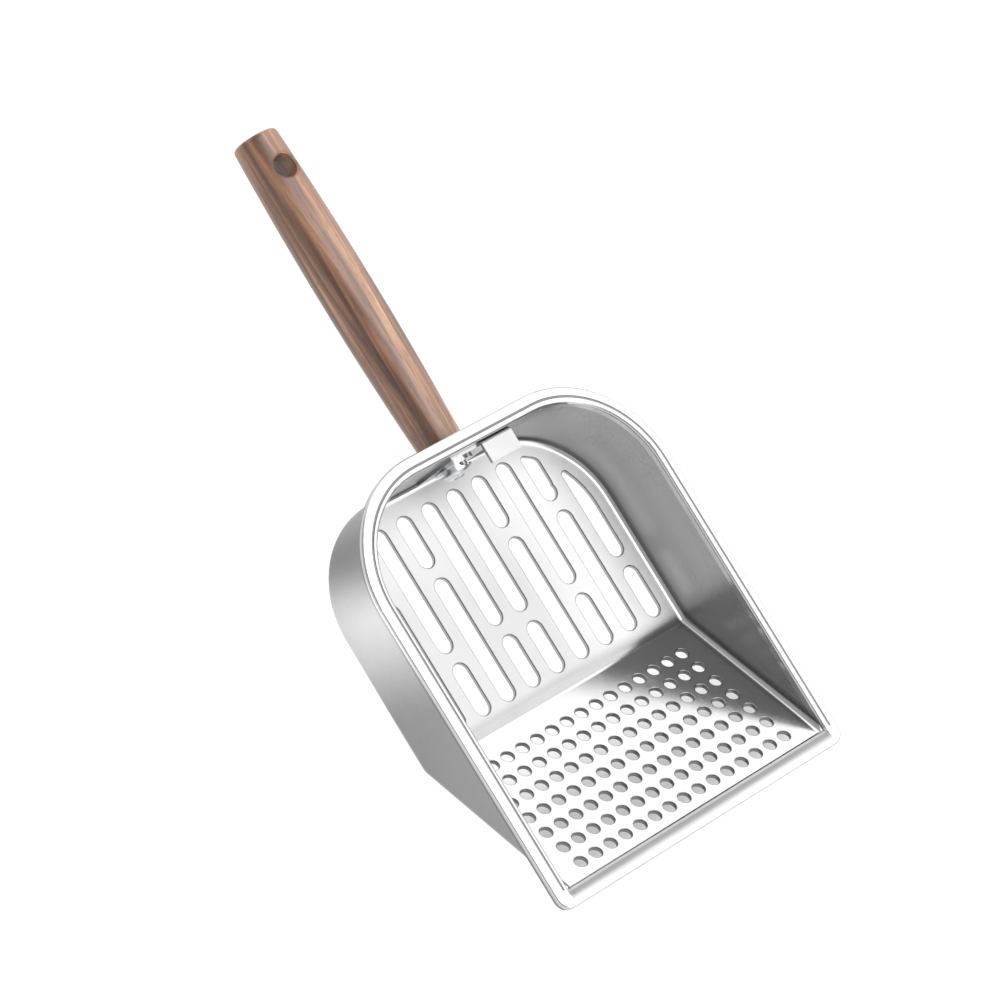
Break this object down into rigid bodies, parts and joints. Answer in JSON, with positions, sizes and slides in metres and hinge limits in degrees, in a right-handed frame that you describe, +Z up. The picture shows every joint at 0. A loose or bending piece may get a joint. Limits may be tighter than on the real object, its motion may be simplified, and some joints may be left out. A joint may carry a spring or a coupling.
{
  "type": "sifting scoop",
  "caption": "Steel hand scoop with a slotted flat floor, a perforated ramp at the mouth, a rolled rim and a turned wooden handle with a hanging hole.",
  "frame": {"origin": "below the middle of the whole object, on the surface that the floor rests on", "axes": "+X across the pan, +Y from the mouth towards the handle, +Z up"},
  "size_m": [0.1392, 0.2774, 0.0359],
  "materials": {
    "pan_steel": "polished stainless steel with faint rolling marks",
    "bracket_steel": "polished stainless steel sheet",
    "fastener_steel": "bright zinc plated steel",
    "insert_brass": "turned brass",
    "handle_wood": "walnut with long grain, oiled to a soft sheen"
  },
  "bodies": {
    "root": {"scoop_pan": "pan_steel", "handle_bracket": "bracket_steel", "flat_washer": "fastener_steel", "spring_washer": "fastener_steel", "handle_screw": "fastener_steel", "threaded_insert": "insert_brass", "wood_handle": "handle_wood"}
  },
  "joints": []
}
